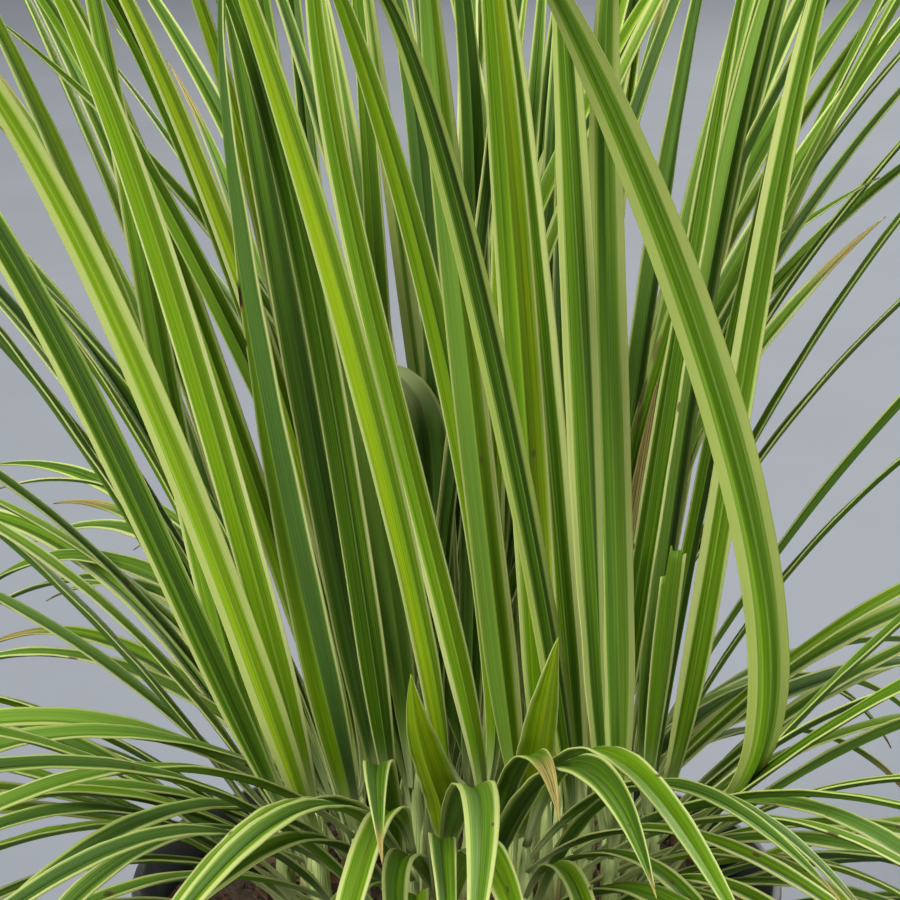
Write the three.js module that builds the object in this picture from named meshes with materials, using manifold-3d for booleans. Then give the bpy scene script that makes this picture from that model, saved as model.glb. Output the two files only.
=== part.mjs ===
// A variegated carex sedge in a plain round pot: a tuft of leafy shoots standing in the compost.
// Millimetres, +Z up, origin at the middle of the pot's base. The tuft's front faces -Y.
import * as THREE from "three";
import { mergeVertices } from "three/addons/utils/BufferGeometryUtils.js";
import Module from "manifold-3d";

const wasm = await Module();
wasm.setup();

// ---- Driving sizes ----
const GAP = 0.3; // between neighbours that touch
const POT = {
  height: 158, rimRadius: 100, rimDepth: 17, neckRadius: 95, baseRadius: 76, wall: 2.4, floor: 3.2
};
const POT_SIDES = 40;
const DRAIN_HOLES = { count: 5, radius: 5.5, ring: 48 };
const SOIL_TOP = 146;
const SOIL_MOUND = 3; // how far the compost rises towards the middle
const SOIL_SIDES = POT_SIDES / 2; // every second corner of the pot, so that the compost stays inside it
const CROWN_RADIUS = 60; // the shoots stand inside this circle
const SHOOT_SPACING = 10.5;
const RULE_SHOOTS = 50; // places tried by the sunflower rule
const MAX_SHOOTS = 48;
const CORE = { radius: 3.4, topRadius: 1.6, height: 48, depth: 9, sides: 5 };
const PARTING = 40; // the youngest leaf leaves the core this far above the oldest
const FOOT_OFFSET = 1.4; // from the core's axis
const SHEATH = 0.8; // share of the core's height up to which a shoot's own leaves may overlap
const LEAVES_PER_SHOOT = 6;
const TRIES = 100; // draws for each leaf before it is left out
const UPRIGHT_TRIES = 60; // the rest of them lie low, and only the crown's outer shoots have them
const SKIRT_FROM = 0.55; // share of the crown's radius where the outer shoots begin
const CLEARANCE = 0.7; // extra width and thickness while testing for crossings
const LEAF_THICKNESS = 0.9;
const LOW = 226; // heights at which the front leaves are set out
const HIGH = 374;
const LOW_AT = 0.22; // where on a front leaf those heights come, from foot to tip
const HIGH_AT = 0.65;
const STATIONS = [0, 0.1, 0.22, 0.38, 0.52, 0.66, 0.83, 1]; // where a front leaf's cross-sections lie
const GOLDEN_ANGLE = Math.PI * (3 - Math.sqrt(5));

// How the leaves grow, in degrees and millimetres, from the youngest leaf to the oldest.
const HABIT = {
  ownLean: [3, 13], // away from the shoot
  sharedLean: [2, 17], // with the shoot, from the middle of the crown to its edge
  sprawl: 30, // and further out, for the older leaves of the outer shoots
  sprawlFrom: 0.45,
  bow: [20, 72], // from foot to tip
  lowLean: [30, 56], // of the leaves that lie low, from least to most
  lowBow: 84,
  length: [300, 352], // of a shoot's youngest leaf
  shortest: 0.7, // the oldest leaf's length as a share of the youngest's
  width: [6.4, 9.6],
  phyllotaxis: 137,
};
// A front leaf's tip beyond HIGH: how far on, sideways, forwards and up.
const FRONT_TIP = { on: [120, 190], sideways: [-12, 12], forwards: [0, -26], up: [66, 104] };

// ---- The front of the tuft, shoot by shoot ----
// leaf: x and y at LOW, x and y at HIGH, width, turn in degrees at LOW and at HIGH, and for a leaf that is
// broken across the share of its length where it ends. A curved leaf has its knee, bend and tip instead.
const FRONT_SHOOTS = [
  { at: [-41, -38], leaves: [[-48.3, -72, -97, -100, 8.6, 10, 0], [-60.6, -58, -126, -66, 8.8, -15, 10]] },
  { at: [-42, -24], leaves: [[-48.2, -42, -84.6, -54, 8.6, 8, 15], [-63, -34, -90, -38, 8, 20, 30]] },
  { at: [-29, -17], leaves: [
    [-30, -18, -70.4, -20, 6.8, 30, 10],
    [-31.5, -13, -73, -14, 6.8, 20, 10],
  ], curved: [
    {
      knee: [-31.5, -55.7, 206.6],
      bend: [-83.1, -18.9, 423.2],
      tip: [-52.7, -78.4, 468.9],
      width: 11,
      turns: [44, -119],
    },
  ] },
  { at: [-17, -30], leaves: [[-22.9, -34, -45.8, -37, 8.5, 12, 0], [-28.9, -22, -54, -24, 8.8, 25, 35]] },
  { at: [-5, -44], leaves: [[-5.3, -56, -36, -84, 8, 52, 10]], curved: [
    { knee: [2, -54, 205], bend: [-10, -86, 222], tip: [-12.2, -110, 260], width: 12, turns: [-15, -15] },
  ] },
  { at: [6, -32], leaves: [], curved: [
    {
      knee: [17.6, -51.4, 205.5],
      bend: [-56, -50.3, 427.3],
      tip: [-33.5, -80, 463.1],
      width: 7.6,
      turns: [25, 2],
    },
  ] },
  { at: [-12, -12], leaves: [
    [-16.4, -13, -42.6, -16, 8.8, 10, 20],
    [-16.7, -4, -24.7, -4, 6.5, 10, -20],
    [-24, -9, -87.1, -8, 6.2, 10, 10],
  ] },
  { at: [4, -13], leaves: [
    [-6.3, -8, 8.6, -8, 6.8, 30, 55],
    [11, -16, -15.6, -22, 7.6, 5, 5],
    [10.5, -9, 12.4, -13, 5, 10, 0],
    [4.5, -3, 5, -3, 8.5, 0, 0],
  ] },
  { at: [20, -30], leaves: [[14.5, -40, -2.1, -56, 9.8, 0, 12]], curved: [
    { knee: [21, -46, 200], bend: [20.5, -86, 232], tip: [26, -110, 270], width: 12, turns: [20, 20] },
  ] },
  { at: [33, -40], leaves: [[29.8, -60, 0.8, -88, 8.2, 35, 25]] },
  { at: [27, -20], leaves: [[25, -46, 14.2, -66, 11, 0, 0]] },
  { at: [38, -26], leaves: [[33.9, -34, 19.6, -46, 9.2, -15, -30]], curved: [
    { knee: [37, -27, 215], bend: [34.5, -28, 270], tip: [32.5, -28, 312], width: 4.5, turns: [0, 0] },
  ] },
  { at: [45, -42], leaves: [[39.4, -63, 30.2, -92, 10, 66, 0], [45.6, -54, 38.5, -84, 10.4, 15, 0]] },
  { at: [58, -32], leaves: [[85, -66, 51.8, -118, 11.6, 10, 5]] },
  { at: [47, -9], leaves: [
    [49, -26, 68.6, -32, 7.8, -20, -55],
    [44.6, -8, 59.4, -7, 8, 20, 40],
  ], curved: [
    { knee: [42.5, -17, 215], bend: [49.5, -20, 272], tip: [57.6, -20, 318], width: 7, turns: [35, 35] },
    { knee: [33.7, -13, 222], bend: [50, -14, 306], tip: [82.3, -18, 400], width: 8, turns: [20, 20] },
  ] },
  { at: [58, -10], leaves: [
    [58, -36, 71.6, -40, 7.2, 25, 20, 0.38],
    [57.4, -17, 75.5, -18, 8.4, 20, 15],
    [68.3, -27, 88.6, -30, 8.4, 0, 0],
    [61.6, -22, 87.3, -23, 5.2, 20, 15],
  ] },
  { at: [6, 0], leaves: [], curved: [
    { knee: [-21.2, 4, 257.4], bend: [10.9, 8, 318.7], tip: [-32.5, 12, 315.4], width: 13, turns: [10, 10] },
  ] },
  { at: [-30, 3], leaves: [[-43.1, 0, -91.6, 7, 7.6, 10, 20], [-33.6, -2, -59.2, -4, 6.5, 10, 15]] },
  { at: [8, 16], leaves: [[0, 26, -20.3, 31, 6, 0, 0], [-1, 18, -10.8, 20, 7, 5, 0]] },
];
// Seen from EYE, the drawn leaves leave these slanting strips open: x and z of both ends, where they pass the
// plane y = PANE, and half the width. Daylight shows through them, and in the fifth the leaf that bends over.
const EYE = { x: -2, y: -767, z: 484 };
const PANE = -30;
const DAYLIGHT = [
  [-71, 342, -66, 328, 2], [-66, 328, -56, 304, 2], [-56, 304, -52, 280, 1.2], [-19, 368, -13, 325, 3],
  [-12, 323, -6, 306, 2.5], [49.6, 368, 52, 332, 1.2], [69, 295, 65, 271, 0.8], [68, 260, 63.5, 225, 0.8],
  [-49, 254, -46, 240, 1],
];

// ---- Leaves ----

// A repeatable stream of numbers from 0 to 1.
function draws(seed) {
  let state = 1 + (seed % 2147483646);
  const next = () => (state = (state * 48271) % 2147483647) / 2147483647;
  for (let i = 0; i < 3; i++) next();
  return next;
}

const mix = (a, b, t) => a + (b - a) * t;
const within = (range, t) => mix(range[0], range[1], t);
const radians = THREE.MathUtils.degToRad;
const ease = (t) => THREE.MathUtils.smoothstep(t, 0, 1);
const vec = (x, y, z) => new THREE.Vector3(x, y, z);
const heading = (angle) => vec(Math.cos(angle), Math.sin(angle), 0);
const UP = vec(0, 0, 1);

// A direction that leans from upright by tilt towards the horizontal unit vector out.
const leaning = (out, tilt) => vec(0, 0, Math.cos(tilt)).addScaledVector(out, Math.sin(tilt));

// The cubic curve from foot to tip that passes through low and high at LOW_AT and HIGH_AT.
function curveThrough(foot, low, high, tip) {
  const weights = (t) => [(1 - t) ** 3, 3 * t * (1 - t) ** 2, 3 * t * t * (1 - t), t ** 3];
  const [a, b] = [weights(LOW_AT), weights(HIGH_AT)];
  const rest = (p, w) => p.clone().addScaledVector(foot, -w[0]).addScaledVector(tip, -w[3]);
  const [p, q] = [rest(low, a), rest(high, b)];
  const det = a[1] * b[2] - a[2] * b[1];
  const knee = p.clone().multiplyScalar(b[2] / det).addScaledVector(q, -a[2] / det);
  const bend = q.clone().multiplyScalar(a[1] / det).addScaledVector(p, -b[1] / det);
  return new THREE.CubicBezierCurve3(foot, knee, bend, tip);
}

// A leaf set out by hand: it rises through its low and high places and, unless broken, bows over beyond.
function frontLeaf(shoot, row, rank) {
  const [lowX, lowY, highX, highY, width, lowTurn, highTurn, broken] = row;
  const draw = draws(shoot.number * 6151 + rank * 3079 + 101);
  const low = vec(lowX, lowY, LOW);
  const high = vec(highX, highY, HIGH);
  const offset = low.clone().sub(shoot.foot).setZ(0).normalize().multiplyScalar(FOOT_OFFSET);
  const foot = shoot.foot.clone().add(offset);
  foot.z += PARTING * (1 - rank / (LEAVES_PER_SHOOT - 1));
  const slope = high.clone().sub(low).divideScalar(HIGH - LOW);
  const tip = high.clone().addScaledVector(slope.setZ(0), within(FRONT_TIP.on, draw()));
  tip.x += within(FRONT_TIP.sideways, draw());
  tip.y += within(FRONT_TIP.forwards, draw());
  tip.z += within(FRONT_TIP.up, draw());
  const turnRate = radians(highTurn - lowTurn) / (HIGH_AT - LOW_AT);
  const footTurn = radians(lowTurn) - turnRate * LOW_AT;
  return {
    curve: curveThrough(foot, low, high, tip),
    side: vec(1, 0, 0),
    width,
    turn: [footTurn, footTurn + turnRate],
    stations: broken ? [0, 0.12, broken] : STATIONS,
    blunt: Boolean(broken),
  };
}

// A curved leaf set out by hand from its foot by its knee, bend and tip.
function curvedLeaf(shoot, { knee, bend, tip, width, turns }, rank) {
  const foot = shoot.foot.clone();
  foot.z += PARTING * (1 - rank / (LEAVES_PER_SHOOT - 1));
  return {
    curve: new THREE.CubicBezierCurve3(foot, vec(...knee), vec(...bend), vec(...tip)),
    side: vec(1, 0, 0),
    width,
    turn: turns.map(radians),
    stations: STATIONS,
    blunt: false,
  };
}

// One try at a leaf of a shoot. Rank 0 is the youngest and most upright, the last the oldest, arching most.
// Later tries are drawn from a wider range, and the last of them lie low and arch out over the pot's rim.
function drawnLeaf(shoot, rank, attempt) {
  const draw = draws(shoot.number * 7919 + rank * 104729 + attempt * 1299709);
  const age = rank / (LEAVES_PER_SHOOT - 1);
  const spread = 1 + 2 * (attempt / TRIES);
  const low = attempt >= UPRIGHT_TRIES;
  const ownBearing = shoot.start + rank * radians(HABIT.phyllotaxis) + (draw() - 0.5) * 0.7 * spread;
  const ownLean = within(HABIT.ownLean, age) + draw() * 4 * spread;
  const sprawl = HABIT.sprawl * shoot.reach * Math.max(0, age - HABIT.sprawlFrom) / (1 - HABIT.sprawlFrom);
  const upright = within(HABIT.sharedLean, shoot.reach) + shoot.lean * age + sprawl;
  const sharedLean = low ? within(HABIT.lowLean, draw()) : upright;
  const lean = heading(shoot.bearing).multiplyScalar(Math.tan(radians(sharedLean)));
  lean.addScaledVector(heading(ownBearing), Math.tan(radians(ownLean)));
  const out = lean.clone().normalize();
  const footTilt = Math.atan(lean.length());
  const bow = (low ? HABIT.lowBow : within(HABIT.bow, age)) + 14 * (draw() - 0.5) * spread;
  const tipTilt = footTilt + radians(bow);
  const length = shoot.length * mix(1, HABIT.shortest, low ? 1 : age * age) * mix(0.9, 1.06, draw());
  const width = within(HABIT.width, draw()) * shoot.vigour;
  const swung = out.clone().applyAxisAngle(UP, (draw() - 0.5) * radians(22) * spread);
  const foot = shoot.foot.clone().addScaledVector(out, FOOT_OFFSET);
  foot.z += PARTING * (1 - age);
  const knee = foot.clone().addScaledVector(leaning(out, footTilt), length * 0.36);
  const bend = knee.clone().addScaledVector(leaning(out, mix(footTilt, tipTilt, 0.42)), length * 0.33);
  const tip = bend.clone().addScaledVector(leaning(swung, tipTilt), length * 0.36);
  return {
    curve: new THREE.CubicBezierCurve3(foot, knee, bend, tip),
    side: vec(-out.y, out.x, 0),
    width,
    turn: [(draw() - 0.5) * radians(24), (draw() - 0.5) * radians(80)],
    stations: [0, 0.2, 0.47, 0.74, 1],
    blunt: false,
  };
}

// How wide a blade is along its length: narrow and folded at the sheath, tapering to a long fine tip.
const widthShare = (t) => mix(0.3, 1, ease(t / 0.3)) * (t > 0.45 ? 1 - ((t - 0.45) / 0.55) ** 2.3 : 1);
const foldShare = (t) => mix(0.25, 0.13, ease(t / 0.3));

// The four corners of a blade's section at t: left margin, upper midrib, right margin, under midrib.
function section(leaf, t, extra) {
  const middle = leaf.curve.getPoint(t);
  const along = leaf.curve.getTangent(t);
  const across = leaf.side.clone().addScaledVector(along, -leaf.side.dot(along)).normalize();
  const up = along.clone().cross(across);
  const turn = mix(leaf.turn[0], leaf.turn[1], t);
  const side = across.clone().multiplyScalar(Math.cos(turn)).addScaledVector(up, Math.sin(turn));
  const face = up.multiplyScalar(Math.cos(turn)).addScaledVector(across, -Math.sin(turn));
  const width = leaf.width * widthShare(t) + extra;
  const fold = leaf.width * widthShare(t) * foldShare(t);
  const half = (LEAF_THICKNESS + extra) / 2;
  return [
    middle.clone().addScaledVector(side, -width / 2),
    middle.clone().addScaledVector(face, half - fold),
    middle.clone().addScaledVector(side, width / 2),
    middle.clone().addScaledVector(face, -half - fold),
  ];
}

// A blade as points and triangles: sections joined by four-sided tubes, closed by a point or a broken end.
// Both faces are split alike, so that they don't cross where the blade turns.
function bladeMesh(leaf, extra = 0) {
  const points = [];
  const triangles = [[0, 1, 3], [1, 2, 3]];
  const tubes = leaf.blunt ? leaf.stations.length - 1 : leaf.stations.length - 2;
  leaf.stations.slice(0, tubes + 1).forEach((t) => points.push(...section(leaf, t, extra)));
  for (let i = 0; i < tubes; i++)
    for (let k = 0; k < 4; k++) {
      const [a, b] = [4 * i + k, 4 * i + ((k + 1) % 4)];
      if (k < 2) triangles.push([a, a + 4, b], [b, a + 4, b + 4]);
      else triangles.push([a, a + 4, b + 4], [a, b + 4, b]);
    }
  const last = 4 * tubes;
  if (leaf.blunt) triangles.push([last, last + 3, last + 1], [last + 1, last + 3, last + 2]);
  else {
    points.push(leaf.curve.getPoint(1));
    for (let k = 0; k < 4; k++) triangles.push([last + k, last + 4, last + ((k + 1) % 4)]);
  }
  return { points, triangles };
}

// ---- Keeping the leaves clear of each other ----

// Does the edge from p to q pass through the triangle a, b, c, higher than floor?
const hit = vec(0, 0, 0);
const ray = new THREE.Ray();
function pierces(p, q, a, b, c, floor) {
  ray.origin.copy(p);
  ray.direction.copy(q).sub(p);
  const length = ray.direction.length();
  ray.direction.divideScalar(length);
  return ray.intersectTriangle(a, b, c, false, hit) !== null && hit.distanceTo(p) <= length && hit.z > floor;
}

// A solid's triangles in groups with a box each, so that far ones are skipped quickly.
function guarded({ points, triangles }, groupSize = 8) {
  const groups = [];
  for (let i = 0; i < triangles.length; i += groupSize) {
    const corners = triangles.slice(i, i + groupSize).map((tri) => tri.map((k) => points[k]));
    groups.push({ corners, box: new THREE.Box3().setFromPoints(corners.flat()) });
  }
  return { groups, box: new THREE.Box3().setFromPoints(points) };
}

const edgesPierce = (from, into, floor) =>
  from.some((tri) => [0, 1, 2].some((k) => into.some((t) => pierces(tri[k], tri[(k + 1) % 3], ...t, floor))));

// Do two solids pass through each other anywhere higher than floor?
function cross(one, other, floor = -Infinity) {
  if (!one.box.intersectsBox(other.box)) return false;
  return one.groups.some((g) => g.box.max.z > floor && other.groups.some((h) => g.box.intersectsBox(h.box) &&
    (edgesPierce(g.corners, h.corners, floor) || edgesPierce(h.corners, g.corners, floor))));
}

// ---- Shoots ----

const soilHeight = (x, y) => SOIL_TOP + SOIL_MOUND * Math.max(0, 1 - Math.hypot(x, y) / POT.neckRadius);

function makeShoot(number, x, y) {
  const draw = draws(number * 15485863);
  return {
    number,
    foot: vec(x, y, soilHeight(x, y) + 2),
    bearing: Math.atan2(y, x),
    reach: Math.hypot(x, y) / CROWN_RADIUS,
    start: draw() * 2 * Math.PI,
    lean: 8 * draw(),
    length: within(HABIT.length, draw()),
    vigour: mix(0.88, 1.08, draw()),
    handSet: (FRONT_SHOOTS[number]?.leaves.length ?? 0) + (FRONT_SHOOTS[number]?.curved?.length ?? 0),
    leaves: [],
  };
}

// Hand-set shoots first, then the sunflower rule fills the rest of the crown.
const shoots = FRONT_SHOOTS.map(({ at }, i) => makeShoot(i, at[0], at[1]));
for (let i = 0; i < RULE_SHOOTS && shoots.length < MAX_SHOOTS; i++) {
  const radius = CROWN_RADIUS * Math.sqrt((i + 0.5) / RULE_SHOOTS);
  const place = vec(radius * Math.cos(i * GOLDEN_ANGLE), radius * Math.sin(i * GOLDEN_ANGLE), 0);
  if (shoots.every((s) => Math.hypot(s.foot.x - place.x, s.foot.y - place.y) > SHOOT_SPACING))
    shoots.push(makeShoot(shoots.length, place.x, place.y));
}

// The shoot's core of rolled sheaths, from its seat in the compost to where the youngest leaves part.
function coreMesh({ foot }, extra = 0) {
  const height = CORE.height + CORE.depth;
  return new THREE.CylinderGeometry(CORE.topRadius + extra, CORE.radius + extra, height, CORE.sides)
    .rotateX(Math.PI / 2)
    .translate(foot.x, foot.y, foot.z + height / 2 - CORE.depth);
}

function geometryMesh(geometry) {
  const bare = geometry.clone().deleteAttribute("normal").deleteAttribute("uv");
  const merged = mergeVertices(bare, 1e-4);
  const position = merged.getAttribute("position");
  const points = Array.from({ length: position.count }, (_, i) => vec().fromBufferAttribute(position, i));
  const triangles = Array.from({ length: merged.index.count / 3 }, (_, i) =>
    [0, 1, 2].map((k) => merged.index.getX(3 * i + k)));
  return { points, triangles };
}

const cores = shoots.map((shoot) => guarded(geometryMesh(coreMesh(shoot, CLEARANCE / 2))));

// The front is left to the leaves set by hand: others stay behind it, beside it, or arch over below it.
const WINDOW = { floor: 216, rise: 0.3, half: 104, back: -24 };
function blocksFront(leaf) {
  for (let t = 0.1; t <= 1; t += 0.05) {
    const p = leaf.curve.getPoint(t);
    const inFront = WINDOW.back - p.y;
    if (inFront > 0 && Math.abs(p.x) < WINDOW.half && p.z > WINDOW.floor + WINDOW.rise * inFront) return true;
  }
  return false;
}

// Does a leaf pass in front of or behind a strip where daylight shows?
const daylight = DAYLIGHT.map(([x, z, otherX, otherZ, half]) => ({
  strip: new THREE.Line3(vec(x, PANE, z), vec(otherX, PANE, otherZ)), half,
}));
function blocksDaylight(leaf) {
  for (let t = 0.1; t <= 1; t += 0.02) {
    const p = leaf.curve.getPoint(t);
    p.sub(EYE).multiplyScalar((PANE - EYE.y) / p.y).add(EYE);
    const reach = 0.45 * leaf.width * widthShare(t);
    const distance = (strip) => strip.closestPointToPoint(p, true, hit).distanceTo(p);
    if (daylight.some(({ strip, half }) => distance(strip) < half + reach)) return true;
  }
  return false;
}

function isClear(shoot, leaf, solid) {
  const others = shoots.filter((s) => s !== shoot);
  if (others.some((s) => cross(solid, cores[s.number]))) return false;
  if (others.some((s) => s.leaves.some((l) => cross(solid, l.guard)))) return false;
  const sheathTop = shoot.foot.z + SHEATH * CORE.height;
  return !shoot.leaves.some((l) => cross(solid, l.guard, sheathTop));
}

function addLeaf(shoot, leaf) {
  leaf.guard = guarded(bladeMesh(leaf));
  shoot.leaves.push(leaf);
}

FRONT_SHOOTS.forEach(({ leaves, curved = [] }, i) => {
  leaves.forEach((row, k) => addLeaf(shoots[i], frontLeaf(shoots[i], row, k)));
  curved.forEach((row, k) => addLeaf(shoots[i], curvedLeaf(shoots[i], row, leaves.length + k)));
});

for (let rank = 0; rank < LEAVES_PER_SHOOT; rank++)
  for (const shoot of shoots.filter((s) => rank >= s.handSet))
    for (let attempt = 0; attempt < (shoot.reach > SKIRT_FROM ? TRIES : UPRIGHT_TRIES); attempt++) {
      const leaf = drawnLeaf(shoot, rank, attempt);
      if (blocksFront(leaf) || blocksDaylight(leaf)) continue;
      if (!isClear(shoot, leaf, guarded(bladeMesh(leaf, CLEARANCE)))) continue;
      addLeaf(shoot, leaf);
      break;
    }

// ---- Solids ----

function solidOf({ points, triangles }) {
  const vertProperties = new Float32Array(points.flatMap((p) => [p.x, p.y, p.z]));
  const triVerts = new Uint32Array(triangles.flat());
  return new wasm.Manifold(new wasm.Mesh({ numProp: 3, vertProperties, triVerts }));
}

function meshOf(solid, name, material) {
  const { vertProperties, triVerts } = solid.getMesh();
  const geometry = new THREE.BufferGeometry()
    .setAttribute("position", new THREE.BufferAttribute(vertProperties, 3))
    .setIndex(new THREE.BufferAttribute(triVerts, 1));
  geometry.computeVertexNormals();
  const mesh = new THREE.Mesh(geometry, material);
  mesh.name = name;
  return mesh;
}

const leafGreen = new THREE.MeshStandardMaterial({ color: 0x4c7a24, roughness: 0.45, metalness: 0 });
const compostBrown = new THREE.MeshStandardMaterial({ color: 0x2e2219, roughness: 0.95, metalness: 0 });
const potPlastic = new THREE.MeshStandardMaterial({ color: 0x2b2d2e, roughness: 0.55, metalness: 0 });

// The core and its leaves in one body. A hollow that the fusing seals comes out as a body of its own and is
// dropped.
function shootMesh(shoot) {
  const core = solidOf(geometryMesh(coreMesh(shoot)));
  const whole = shoot.leaves.reduce((sum, leaf) => sum.add(solidOf(bladeMesh(leaf))), core);
  const [body] = whole.decompose().sort((a, b) => b.volume() - a.volume());
  return meshOf(body, `shoot_${String(shoot.number + 1).padStart(2, "0")}`, leafGreen);
}

function potMesh() {
  const { height, rimRadius, neckRadius, baseRadius, wall, rimDepth, floor } = POT;
  const outline = [
    [0, 0], [baseRadius - 2, 0], [baseRadius, 2], [neckRadius, height - rimDepth],
    [rimRadius - 1.5, height - rimDepth + 1.5], [rimRadius, height - 1], [rimRadius - 1, height],
    [rimRadius - wall - 0.6, height], [neckRadius - wall, height - rimDepth - 2],
    [baseRadius - wall, floor + 2], [baseRadius - wall - 2, floor], [0, floor],
  ].map(([r, z]) => new THREE.Vector2(r, z));
  const lathe = new THREE.LatheGeometry(outline, POT_SIDES).rotateX(Math.PI / 2);
  let solid = solidOf(geometryMesh(lathe));
  for (let i = 0; i < DRAIN_HOLES.count; i++) {
    const angle = (2 * Math.PI * i) / DRAIN_HOLES.count;
    const drill = new THREE.CylinderGeometry(DRAIN_HOLES.radius, DRAIN_HOLES.radius, 4 * floor, 10)
      .rotateX(Math.PI / 2)
      .translate(DRAIN_HOLES.ring * Math.cos(angle), DRAIN_HOLES.ring * Math.sin(angle), 0);
    solid = solid.subtract(solidOf(geometryMesh(drill)));
  }
  return meshOf(solid, "pot", potPlastic);
}

function soilMesh() {
  const { height, neckRadius, baseRadius, wall, rimDepth, floor } = POT;
  const rise = (z) => (z - floor - 2) / (height - rimDepth - floor - 4);
  const inner = (z) => mix(baseRadius, neckRadius, rise(z)) - wall - GAP;
  const shoulder = SOIL_TOP - 9;
  const low = floor + GAP;
  const outline = [[0, low], [inner(low) - 3, low], [inner(9), 9], [inner(shoulder), shoulder]];
  for (const share of [0.98, 0.72, 0.36, 0]) outline.push([inner(shoulder) * share, SOIL_TOP]);
  const lathe = new THREE.LatheGeometry(outline.map(([r, z]) => new THREE.Vector2(r, z)), SOIL_SIDES);
  lathe.rotateX(Math.PI / 2);
  const mesh = geometryMesh(lathe);
  for (const p of mesh.points)
    if (p.z === SOIL_TOP) p.z = soilHeight(p.x, p.y) + 0.9 * Math.sin(0.21 * p.x + 1) * Math.cos(0.17 * p.y);
  let solid = solidOf(mesh);
  for (const shoot of shoots) solid = solid.subtract(solidOf(geometryMesh(coreMesh(shoot, GAP))));
  return meshOf(solid, "compost", compostBrown);
}

const sedge = new THREE.Group();
sedge.add(potMesh(), soilMesh(), ...shoots.map(shootMesh));
export default sedge;
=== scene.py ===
# A variegated carex sedge in a plain round nursery pot, on a pale studio floor.
# Sizes are in millimetres; each finished mesh is scaled by MM to the frame's metres. The front faces -Y.
import math

import bmesh
import bpy
import numpy as np
from mathutils import Matrix, Vector, noise
from mathutils.kdtree import KDTree


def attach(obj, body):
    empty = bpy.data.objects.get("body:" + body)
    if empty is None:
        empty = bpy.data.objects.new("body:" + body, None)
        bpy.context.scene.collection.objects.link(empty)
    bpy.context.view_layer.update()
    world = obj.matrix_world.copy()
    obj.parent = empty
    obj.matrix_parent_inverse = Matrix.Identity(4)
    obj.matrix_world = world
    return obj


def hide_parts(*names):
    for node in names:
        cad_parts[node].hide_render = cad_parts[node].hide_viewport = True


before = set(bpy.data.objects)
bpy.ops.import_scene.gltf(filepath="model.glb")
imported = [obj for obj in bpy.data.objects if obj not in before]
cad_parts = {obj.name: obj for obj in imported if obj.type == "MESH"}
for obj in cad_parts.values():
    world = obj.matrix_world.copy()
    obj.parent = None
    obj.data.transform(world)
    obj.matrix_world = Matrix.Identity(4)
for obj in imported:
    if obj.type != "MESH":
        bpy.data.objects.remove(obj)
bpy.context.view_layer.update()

# ---- Pot ----
# A nursery pot, injection-moulded in thin dark plastic: a tapering wall with a deep turned-down rim, a thin
# step above the foot, and five drain holes in the floor. It stands on its flat base.
MM = 0.001
POT_HEIGHT = 158
POT_BASE_RADIUS = 76
POT_NECK_RADIUS = 95
POT_RIM_RADIUS = 100
POT_RIM_DEPTH = 17
POT_WALL = 2.4
POT_FLOOR = 3.2
POT_FOOT_STEP = 14
POT_STEPS = 144
DRAIN_HOLES = 5
DRAIN_RADIUS = 5.5
DRAIN_RING = 48


def linear(red, green, blue):
    """A colour given as on a screen, 0 to 255, in the linear values that a shader takes."""
    shares = [value / 255 for value in (red, green, blue)]
    return (*[s / 12.92 if s <= 0.04045 else ((s + 0.055) / 1.055) ** 2.4 for s in shares], 1)


def plug(tree, value, socket):
    """Gives an input a plain value, or links it to the socket of another node."""
    if isinstance(value, bpy.types.NodeSocket):
        tree.links.new(value, socket)
    else:
        socket.default_value = value


def place(tree, kind, settings=(), **inputs):
    """A new node. An input is a value, or the socket of another node that feeds it."""
    node = tree.nodes.new("ShaderNode" + kind)
    for name, value in dict(settings).items():
        setattr(node, name, value)
    for name, value in inputs.items():
        plug(tree, value, node.inputs[name.replace("_", " ")])
    return node


def maths(tree, operation, *values, clamp=False):
    """The result of a Math node on values or sockets."""
    node = tree.nodes.new("ShaderNodeMath")
    node.operation = operation
    node.use_clamp = clamp
    for socket, value in zip(node.inputs, values):
        plug(tree, value, socket)
    return node.outputs[0]


def blend(tree, share, first, second, how="MIX"):
    """Two colours mixed by share."""
    node = tree.nodes.new("ShaderNodeMix")
    node.data_type = "RGBA"
    node.blend_type = how
    for name, value in (("Factor_Float", share), ("A_Color", first), ("B_Color", second)):
        plug(tree, value, next(s for s in node.inputs if s.identifier == name))
    return next(s for s in node.outputs if s.identifier == "Result_Color")


def span(tree, value, low, high, smooth=True):
    """0 below low, 1 above high, smooth between; low may be the higher one."""
    settings = {"interpolation_type": "SMOOTHSTEP" if smooth else "LINEAR"}
    return place(tree, "MapRange", settings, Value=value, From_Min=low, From_Max=high).outputs[0]


def new_group(name, inputs, outputs):
    """An empty node group with number sockets, its input and output nodes, and its tree."""
    tree = bpy.data.node_groups.new(name, "ShaderNodeTree")
    for socket, value in inputs.items():
        made = tree.interface.new_socket(socket, in_out="INPUT", socket_type="NodeSocketFloat")
        made.default_value = value
    for socket in outputs:
        tree.interface.new_socket(socket, in_out="OUTPUT", socket_type="NodeSocketFloat")
    return tree, tree.nodes.new("NodeGroupInput").outputs, tree.nodes.new("NodeGroupOutput").inputs


def use_group(tree, group, **inputs):
    """A node group placed in a material with its own values; gives its outputs."""
    node = tree.nodes.new("ShaderNodeGroup")
    node.node_tree = group
    for name, value in inputs.items():
        plug(tree, value, node.inputs[name.replace("_", " ")])
    return node.outputs


def new_material(name):
    """A material with one Principled shader, and its tree."""
    material = bpy.data.materials.new(name)
    material.use_nodes = True
    return material, material.node_tree, material.node_tree.nodes["Principled BSDF"]


def feed(tree, shader, **sockets):
    """Links sockets to the shader's inputs of the same names."""
    for name, socket in sockets.items():
        tree.links.new(socket, shader.inputs[name.replace("_", " ")])


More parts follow.
